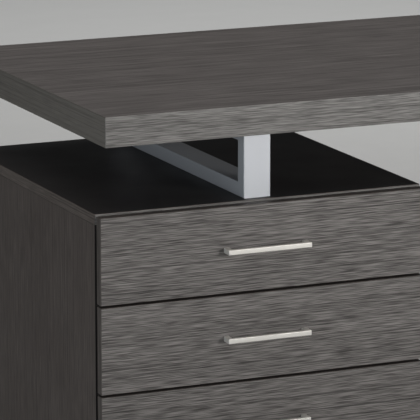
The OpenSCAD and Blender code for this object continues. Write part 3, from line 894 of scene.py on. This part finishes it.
def eased_board(node: str, body: str, face: Finish, edge: Finish, thin: Axis,
                radius: float, outline: Box | None = None) -> Object:
    """Builds a board with eased outer edges, and banded edges round its faces.

    Args:
        node: The CAD node that it stands for.
        body: The body that it rides on.
        face: The finish of its two faces.
        edge: The finish of its edges.
        thin: The axis through its thickness.
        radius: The radius of its eased edges.
        outline: The box whose edges are eased, or None for the board's own.

    Returns:
        The board.
    """
    bm = merged_copy(node)
    ease(bm, outer_edges(bm, outline or Box.of_verts(bm.verts)), radius)
    bm.normal_update()
    for part in bm.faces:
        part.material_index = 0 if abs(part.normal[thin.value]) > 0.99 else 1
    return make_piece(f"{node}_board", bm, body, (face, edge), (node,))


def eased_part(node: str, suffix: str, body: str, finish: Finish, shortest: float,
               radius: float, segments: int = 2) -> Object:
    """Builds a piece from a CAD node, with its longer outward corners eased.

    Args:
        node: The CAD node that it stands for.
        suffix: The end of the piece's name.
        body: The body that it rides on.
        finish: Its finish.
        shortest: The shortest corner to ease.
        radius: The radius of its eased corners.
        segments: The faces across a corner.

    Returns:
        The piece.
    """
    bm = merged_copy(node)
    ease(bm, sharp_edges(bm, shortest), radius, segments)
    return make_piece(f"{node}_{suffix}", bm, body, (finish,), (node,))


def spin(bm: BMesh, outline: Sequence[Vector], centre: Vector, axis: Vector, steps: int) -> None:
    """Spins an outline in a mesh into a solid.

    Args:
        bm: The mesh to add to.
        outline: The outline's points. The last one is joined to the first if they are the same.
        centre: A point on the axis.
        axis: The axis to spin round.
        steps: The faces round the solid.
    """
    verts = [bm.verts.new(place) for place in outline]
    edges = [bm.edges.new(pair) for pair in zip(verts, verts[1:])]
    bmesh.ops.spin(bm, geom=verts + edges, cent=centre, axis=axis, dvec=(0, 0, 0), angle=math.tau,
                   steps=steps, use_merge=True, use_normal_flip=False, use_duplicate=False)
    bmesh.ops.remove_doubles(bm, verts=bm.verts, dist=MERGE)
    bmesh.ops.recalc_face_normals(bm, faces=bm.faces)


@dataclass(frozen=True)
class Turned:
    """A turned solid, such as a screw, found in a CAD node.

    Attributes:
        axis: The axis that it lies along.
        centre: A point on its centre line.
        outline: Its radius along the axis, from its wider end, as pairs.
    """

    axis: Axis
    centre: Vector
    outline: tuple[tuple[float, float], ...]

    # The least width of a step between two radii at one place
    STEP = 0.1 * MM
    # The head's and the tip's chamfers, as shares of their radii
    CHAMFER, TIP = 0.12, 0.3
    WIDEST_CHAMFER = 0.6 * MM
    # The recess's depth as a share of the head's radius, and its floor's share of its mouth
    DEPTH, RECESS_FLOOR = 0.45, 0.5
    # How narrow a cross is between its arms
    WAIST = 0.42
    # The turn from a flute to the ridge beside it
    FLUTE_TURN = math.radians(15)
    # The faces round the solid
    STEPS = 24
    # Turns that bring a solid along Z onto each axis
    TURN = {Axis.X: Matrix.Rotation(math.radians(90), 4, "Y"),
            Axis.Y: Matrix.Rotation(math.radians(-90), 4, "X"),
            Axis.Z: Matrix.Identity(4)}

    @classmethod
    def in_node(cls, node: str, axis: Axis | None = None) -> list["Turned"]:
        """Reads the turned solids of a CAD node.

        Args:
            node: The CAD node.
            axis: The axis that they lie along, or None for their longest side.

        Returns:
            The solids.
        """
        bm = merged_copy(node)
        found = [cls.of_verts(verts, axis) for verts in islands(bm)]
        bm.free()
        return found

    @classmethod
    def of_verts(cls, verts: Sequence[BMVert], axis: Axis | None) -> "Turned":
        """Measures one solid.

        Args:
            verts: Its vertices.
            axis: Its axis, or None for its longest side.

        Returns:
            The solid.
        """
        box = Box.of_verts(verts)
        along = axis or Axis(max(range(3), key=lambda i: box.size[i]))
        rings: dict[float, set[float]] = {}
        for vert in verts:
            offset = vert.co - box.centre
            place = round(offset[along.value], 5)
            offset[along.value] = 0.0
            rings.setdefault(place, set()).add(round(offset.length, 5))
        places = sorted(rings)
        if max(rings[places[0]]) < max(rings[places[-1]]):
            places.reverse()
        outline = []
        for place in places:
            low, high = min(rings[place]), max(rings[place])
            outline.append((place, high))
            if high - low > cls.STEP:
                outline.append((place, low))
        return cls(along, box.centre, tuple(outline))

    def add_to(self, bm: BMesh, drive: Drive, recess: float, flute: float) -> None:
        """Spins the solid's outline into a mesh, with a recess in its head and chamfered ends.

        Args:
            bm: The mesh to add to.
            drive: The recess's shape.
            recess: The recess's radius as a share of the head's.
            flute: Depth of the grooves along the solid, as a share of its radius.
        """
        (head_at, head_r), (end_at, end_r) = self.outline[0], self.outline[-1]
        inward = 1.0 if end_at > head_at else -1.0
        chamfer = min(self.CHAMFER * head_r, self.WIDEST_CHAMFER)
        tip = self.TIP * end_r
        points = [(head_at, 0.0)]
        if drive is not Drive.NONE:
            floor_at = head_at + inward * self.DEPTH * head_r
            mouth = recess * head_r
            points = [(floor_at, 0.0), (floor_at, self.RECESS_FLOOR * mouth), (head_at, mouth)]
        recess_radii = [radius for _, radius in points]
        points += [(head_at, head_r - chamfer), (head_at + inward * chamfer, head_r)]
        points += self.outline[1:-1]
        points += [(end_at - inward * tip, end_r), (end_at, end_r - tip), (end_at, 0.0)]
        part = bmesh.new()
        spin(part, [Vector((radius, 0.0, place)) for place, radius in points], Vector(),
             Vector((0.0, 0.0, 1.0)), self.STEPS)
        for vert in part.verts:
            near_head = abs(vert.co.z - head_at) < 0.5 * head_r
            in_recess = near_head and any(
                r > 0 and abs(vert.co.xy.length - r) < MERGE for r in recess_radii)
            vert.co.xy *= self.scale(vert.co, drive if in_recess else Drive.NONE,
                                     0.0 if in_recess else flute)
        part.transform(Matrix.Translation(self.centre) @ self.TURN[self.axis])
        mesh = bpy.data.meshes.new("turned")
        part.to_mesh(mesh)
        part.free()
        bm.from_mesh(mesh)
        bpy.data.meshes.remove(mesh)

    def scale(self, place: Vector, drive: Drive, flute: float) -> float:
        """Gives how far a point is pulled towards the axis for the recess's shape or a flute.

        Args:
            place: The point, on a solid along Z.
            drive: The recess's shape, or none outside the recess.
            flute: Depth of the flutes, as a share of the radius.

        Returns:
            The point's new distance from the axis as a share of its old one.
        """
        angle = math.atan2(place.y, place.x)
        if drive is Drive.CROSS:
            return self.WAIST + (1.0 - self.WAIST) * max(0.0, math.cos(4 * angle))
        if drive is Drive.HEX:
            return math.cos(math.pi / 6) / math.cos(angle % (math.pi / 3) - math.pi / 6)
        if flute and round(angle / self.FLUTE_TURN) % 2:
            return 1.0 - flute
        return 1.0


@dataclass
class HardwareSet:
    """The screws, bolts or pins of one CAD node.

    Attributes:
        node: The CAD node.
        body: The body that they ride on.
        finish: Their finish.
        drive: The recess in their heads.
        recess: The recess's radius as a share of the head's.
        flute: Depth of the grooves along them, as a share of their radius.
        axis: The axis that they lie along, or None for each one's longest side.
    """

    node: str
    body: str
    finish: Finish
    drive: Drive = Drive.NONE
    recess: float = 0.5
    flute: float = 0.0
    axis: Axis | None = None

    # A solid whose one end is this much wider than the other has a head
    HEADED = 0.2 * MM

    def build(self) -> Object:
        """Builds the set as one piece."""
        bm = bmesh.new()
        for solid in Turned.in_node(self.node, self.axis):
            headed = solid.outline[0][1] > solid.outline[-1][1] + self.HEADED
            solid.add_to(bm, self.drive if headed else Drive.NONE, self.recess, self.flute)
        return make_piece(f"{self.node}_turned", bm, self.body, (self.finish,), (self.node,))


# Sub-assemblies -------------------------------------------------------------


@dataclass
class Desktop:
    """The thick desktop: two skins and four edge bands round a frame and a honeycomb.

    Attributes:
        edge_radius: Radius of the bands' outer edges.
        seam_radius: Radius of the skins' edges, which shows as a hairline at the bands.
    """

    edge_radius: float = 0.8 * MM
    seam_radius: float = 0.15 * MM

    def build(self) -> list[Object]:
        """Builds the desktop's pieces."""
        outline = Box.of_nodes("desktop_long_bands", "desktop_end_bands", "desktop_top_skin",
                               "desktop_bottom_skin")
        boards = (
            ("desktop_top_skin", TOP_X, Axis.Z, self.seam_radius),
            ("desktop_bottom_skin", TOP_X, Axis.Z, self.seam_radius),
            ("desktop_long_bands", LIT_BAND_X, Axis.Y, self.edge_radius, outline),
            ("desktop_end_bands", SHADED_BAND_Y, Axis.X, self.edge_radius, outline),
        )
        made = [eased_board(node, "desk", finish, finish, *shape) for node, finish, *shape in boards]
        cores = {"desktop_core_rails": BOARD, "desktop_mounting_blocks": BOARD,
                 "desktop_honeycomb": PAPER}
        return made + [dress_node(node, finish) for node, finish in cores.items()]


@dataclass
class Pedestal:
    """The drawer pedestal's boards, with its joints' cams, bolts and dowels.

    Attributes:
        edge_radius: Radius of the boards' banded edges.
        panel_radius: Radius of the side panels' edges, painted near black as shade, and of the back
            panel's edges.
        facing_radius: Radius of the black top's edges, which meet its bands.
        cam_face: The least area of a cam's face.
        cam_radius: Radius of the cams' rims.
        cam_rim: Width of the raised rim round a cam's face.
        cam_dish: Depth of a cam's face inside the rim.
        flute: Depth of the dowels' flutes, as a share of their radius.
    """

    edge_radius: float = 0.5 * MM
    panel_radius: float = 0.25 * MM
    facing_radius: float = 0.1 * MM
    cam_face: float = 100 * MM * MM
    cam_radius: float = 0.3 * MM
    cam_rim: float = 1.6 * MM
    cam_dish: float = 0.5 * MM
    flute: float = 0.05

    def build(self) -> list[Object]:
        """Builds the pedestal's pieces."""
        cap = Box.of_nodes("pedestal_top", "pedestal_top_bands")
        boards = (
            ("pedestal_top", BLACK, BLACK, Axis.Z, self.facing_radius),
            ("pedestal_top_bands", LIT_CAP_X, SHADED_CAP_Y, Axis.Y, self.edge_radius, cap),
            # The side panels' edges take the painted shade of the gaps beside the drawer fronts
            ("left_side_panel", SIDE_Z, SHADE_EDGE, Axis.X, self.panel_radius),
            ("right_side_panel", SIDE_Z, SHADE_EDGE, Axis.X, self.panel_radius),
            ("pedestal_bottom", SIDE_X, SIDE_X, Axis.Z, self.edge_radius),
            ("plinth_rails", SIDE_X, SIDE_X, Axis.Y, self.edge_radius),
            ("back_panel", SIDE_Z, BOARD, Axis.Y, self.panel_radius),
        )
        made = [eased_board(node, "desk", *look) for node, *look in boards]
        return made + [self.cams(), HardwareSet("cam_bolts", "desk", ZINC).build(),
                       HardwareSet("dowels", "desk", BEECH, flute=self.flute).build()]

    def cams(self) -> Object:
        """Builds the cams with dished faces and rounded rims."""
        bm = merged_copy("cam_locks")
        ends = [face for face in bm.faces if len(face.verts) > ROUND_SIDES
                and face.calc_area() > self.cam_face and max(abs(part) for part in face.normal) > 0.99]
        made = bmesh.ops.inset_individual(bm, faces=ends, thickness=self.cam_rim, depth=-self.cam_dish,
                                          use_even_offset=True)
        inner = {edge for face in made["faces"] for edge in face.edges}
        rims = [edge for face in ends for edge in face.edges if edge not in inner]
        rims += [edge for edge in sharp_edges(bm, 0.0)
                 if any(len(face.verts) > ROUND_SIDES for face in edge.link_faces)]
        ease(bm, list(dict.fromkeys(rims)), self.cam_radius, 2)
        return make_piece("cam_locks_cast", bm, "desk", (ZINC,), ("cam_locks",))


@dataclass
class TubeLoop:
    """A loop of mitred rectangular tube, which holds the desktop up.

    Attributes:
        name: The loop's name, which starts its nodes' names.
        corner_radius: Radius of the tube's long corners.
        corner_faces: The faces across such a corner.
    """

    name: str
    corner_radius: float = 1.1 * MM
    corner_faces: int = 5

    def build(self) -> list[Object]:
        """Builds the loop's rails and posts."""
        return [self.tubes(f"{self.name}_rails", Axis.Y), self.tubes(f"{self.name}_posts", Axis.Z)]

    def tubes(self, node: str, along: Axis) -> Object:
        """Builds the tubes that run along one axis, with round corners.

        Args:
            node: The CAD node.
            along: The tubes' direction.

        Returns:
            The piece.
        """
        bm = merged_copy(node)
        box = Box.of_verts(bm.verts)
        shortest = 0.5 * box.size[along.value] - self.corner_radius
        corners = [edge for edge in bm.edges if all(self.on_side(v.co, box) for v in edge.verts)
                   and abs((edge.verts[1].co - edge.verts[0].co)[along.value]) > shortest]
        ease(bm, corners, self.corner_radius, self.corner_faces)
        return make_piece(f"{node}_tube", bm, "desk", (SILVER,), (node,))

    @staticmethod
    def on_side(place: Vector, box: Box) -> bool:
        """Says whether a point is on the loop's left or right side."""
        return any(axis == Axis.X.value for axis, _ in box.planes_at(place))


@dataclass
class Drawer:
    """A drawer: its front, box, handle, runner profiles and rollers.

    Attributes:
        name: The drawer's body, which starts its nodes' names.
        front_radius: Radius of the front's banded edges.
        box_radius: Radius of the box's edges.
        handle_radius: Radius of the handle's corners.
        steel_radius: Radius of the runner profile's folded corners.
        roller_dish: How deep a roller's sides are dished.
        roller_round: Radius of a roller's tread at its sides.
        roller_rim: Width of a roller's rim.
        roller_hub: Width of a roller's hub round its bore.
        roller_steps: The faces round a roller.
    """

    name: str
    front_radius: float = 0.6 * MM
    box_radius: float = 0.4 * MM
    handle_radius: float = 1.1 * MM
    steel_radius: float = 0.3 * MM
    roller_dish: float = 0.8 * MM
    roller_round: float = 0.5 * MM
    roller_rim: float = 1.8 * MM
    roller_hub: float = 1.6 * MM
    roller_steps: int = 40

    def build(self) -> list[Object]:
        """Builds the drawer's pieces."""
        name = self.name
        boards = (
            ("front", FRONT_X, SHADED_FRONT_Z, Axis.Y, self.front_radius),
            ("sides", INNER, INNER, Axis.X, self.box_radius),
            ("back", INNER, INNER, Axis.Y, self.box_radius),
            ("bottom", INNER, INNER, Axis.Z, self.box_radius),
        )
        made = [eased_board(f"{name}_{part}", name, *look) for part, *look in boards]
        made += [
            eased_part(f"{name}_handle", "bar", name, NICKEL, 2 * MM, self.handle_radius, 4),
            eased_part(f"{name}_runners", "folded", name, WHITE, 8 * MM, self.steel_radius),
            HardwareSet(f"{name}_handle_screws", name, ZINC, Drive.CROSS, 0.55).build(),
            HardwareSet(f"{name}_box_screws", name, ZINC, Drive.CROSS).build(),
            self.rollers("rear"),
            self.rollers("front"),
        ]
        if f"{name}_file_rails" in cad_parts:
            made.append(eased_part(f"{name}_file_rails", "bar", name, ZINC, 1 * MM, self.steel_radius))
        return made

    def rollers(self, end: str) -> Object:
        """Builds a pair of rollers with a hub, a dished web and a rounded tread.

        Args:
            end: The end of the runners that they are at.

        Returns:
            The piece.
        """
        node = f"{self.name}_{end}_rollers"
        source = merged_copy(node)
        bm = bmesh.new()
        for verts in islands(source):
            self.add_roller(bm, verts)
        source.free()
        return make_piece(f"{node}_turned", bm, f"{self.name}_{end}_roller_pair", (NYLON,), (node,))

    def add_roller(self, bm: BMesh, verts: Sequence[BMVert]) -> None:
        """Spins one roller into a mesh.

        Args:
            bm: The mesh to add to.
            verts: The CAD roller's vertices.
        """
        box = Box.of_verts(verts)
        radii = [(v.co - box.centre).yz.length for v in verts]
        tread, bore = max(radii), min(radii)
        half, dish, slope = box.size.x / 2, box.size.x / 2 - self.roller_dish, self.roller_dish / 2
        side = [(half, bore), (half, bore + self.roller_hub - slope), (dish, bore + self.roller_hub),
                (dish, tread - self.roller_rim), (half, tread - self.roller_rim + slope),
                (half, tread - self.roller_round), (half - self.roller_round, tread)]
        outline = side + [(-place, radius) for place, radius in reversed(side)]
        spin(bm, [box.centre + Vector((place, radius, 0.0)) for place, radius in outline + side[:1]],
             box.centre, Vector((1.0, 0.0, 0.0)), self.roller_steps)


@dataclass
class Fixings:
    """The cabinet's runner channels, and the screws and bolts of the channels and frames.

    Attributes:
        steel_radius: Radius of the channels' folded corners.
    """

    steel_radius: float = 0.3 * MM

    def build(self) -> list[Object]:
        """Builds the channels and the hardware round them."""
        return [
            eased_part("cabinet_runners", "folded", "desk", WHITE, 8 * MM, self.steel_radius),
            HardwareSet("runner_screws", "desk", ZINC, Drive.CROSS).build(),
            HardwareSet("bracket_bolts", "desk", ZINC, Drive.HEX, 0.55).build(),
            HardwareSet("frame_screws", "desk", ZINC, Drive.CROSS).build(),
            HardwareSet("glides", "desk", PLASTIC, axis=Axis.Z).build(),
            dress_node("rivet_nuts", ZINC),
        ]


# Studio ---------------------------------------------------------------------


@dataclass(frozen=True)
class SoftBox:
    """A large soft light.

    Attributes:
        name: Its name.
        place: Where it stands.
        aim: The point that it faces.
        width: Its width.
        height: Its height.
        power: Its power in watts.
        colour: Its colour.
        spread: How wide it shines, in degrees.
    """

    name: str
    place: Vector
    aim: Vector
    width: float
    height: float
    power: float
    colour: tuple[float, float, float] = (1.0, 1.0, 1.0)
    spread: float = 180.0

    def build(self) -> Object:
        """Hangs the light."""
        data = bpy.data.lights.new(self.name, "AREA")
        data.shape = "RECTANGLE"
        data.size, data.size_y = self.width, self.height
        data.energy = self.power
        data.color = self.colour
        data.spread = math.radians(self.spread)
        light = bpy.data.objects.new(self.name, data)
        bpy.context.scene.collection.objects.link(light)
        facing = (self.aim - self.place).to_track_quat("-Z", "Y").to_matrix().to_4x4()
        light.matrix_world = Matrix.Translation(self.place) @ facing
        return light


# Where each light stands, what it faces, its width, height and power, its colour and its spread
LIGHTS = (
    SoftBox("key", Vector((1.5, -4.0, 1.3)), Vector((-0.1, -0.25, 1.3)), 2.0, 1.0, 12.2,
            (1.0, 0.98, 0.965), 50.0),
    SoftBox("fill", Vector((-3.2, -1.6, 0.8)), Vector((-0.6, -0.5, 0.6)), 1.4, 1.1, 4.7,
            (0.89, 0.95, 1.0), 70.0),
    SoftBox("overhead", Vector((0.2, 0.6, 5.0)), Vector((0.2, 0.6, 0.0)), 9.0, 8.0, 165.0,
            (1.0, 0.97, 0.95)),
    SoftBox("rear", Vector((3.2, 2.6, 0.5)), Vector((0.2, 0.3, 0.4)), 1.4, 0.6, 8.0,
            (1.0, 0.98, 0.96)),
    SoftBox("backdrop", Vector((1.9, 4.5, 2.6)), Vector((1.9, 4.5, 0.0)), 4.0, 4.0, 20.0,
            (1.0, 1.0, 1.0), 90.0),
)


@dataclass
class Studio:
    """The camera, the pale floor and the soft lights.

    Attributes:
        camera_place: Where the camera stands.
        yaw: How far the camera turns from +Y towards +X, in degrees.
        pitch: How far it looks down, in degrees.
        lens: Its focal length in millimetres.
        sensor: Its sensor's width in millimetres.
        sight: How far it sees.
        floor_radius: Radius of the floor.
        floor_sides: The floor's sides.
        world: Colour of the air round the desk.
        world_strength: Strength of its light.
    """

    camera_place: Vector = field(default_factory=lambda: Vector((-2.4990, -4.5701, 1.6482)))
    yaw: float = 23.891
    pitch: float = 12.410
    lens: float = 297.84
    sensor: float = 36.0
    sight: float = 200.0
    floor_radius: float = 45.0
    floor_sides: int = 96
    world: Colour = (0.80, 0.82, 0.83, 1.0)
    world_strength: float = 0.080

    def build(self) -> None:
        """Sets up the whole studio."""
        self.camera()
        self.floor()
        self.air()
        for light in LIGHTS:
            light.build()
        bpy.context.scene.view_settings.view_transform = "Standard"

    def camera(self) -> None:
        """Stands the camera and makes it the scene's."""
        data = bpy.data.cameras.new("camera")
        data.lens = self.lens
        data.sensor_width = self.sensor
        data.clip_end = self.sight
        camera = bpy.data.objects.new("camera", data)
        bpy.context.scene.collection.objects.link(camera)
        camera.location = self.camera_place
        camera.rotation_euler = (math.radians(90 - self.pitch), 0.0, math.radians(-self.yaw))
        bpy.context.scene.camera = camera

    def floor(self) -> None:
        """Lays a plain pale floor."""
        bm = bmesh.new()
        bmesh.ops.create_circle(bm, cap_ends=True, radius=self.floor_radius, segments=self.floor_sides)
        mesh = bpy.data.meshes.new("floor")
        bm.to_mesh(mesh)
        bm.free()
        floor = bpy.data.objects.new("floor", mesh)
        bpy.context.scene.collection.objects.link(floor)
        mesh.materials.append(FLOOR.material())

    def air(self) -> None:
        """Gives the world a soft pale light."""
        world = bpy.data.worlds.new("studio")
        world.use_nodes = True
        air = world.node_tree.nodes["Background"]
        air.inputs["Color"].default_value = self.world
        air.inputs["Strength"].default_value = self.world_strength
        bpy.context.scene.world = world


def main() -> None:
    """Builds every sub-assembly in order and reports its pieces."""
    logging.basicConfig(level=logging.INFO, format="%(message)s")
    assemblies = [Desktop(), Pedestal(), TubeLoop("bracket"), TubeLoop("leg"), Fixings()]
    assemblies += [Drawer(name) for name in ("upper_drawer", "middle_drawer", "file_drawer")]
    for assembly in assemblies:
        for piece in assembly.build():
            LOG.info("%s: %s, %d faces", type(assembly).__name__, piece.name, len(piece.data.polygons))
    Studio().build()


if __name__ == "__main__":
    main()
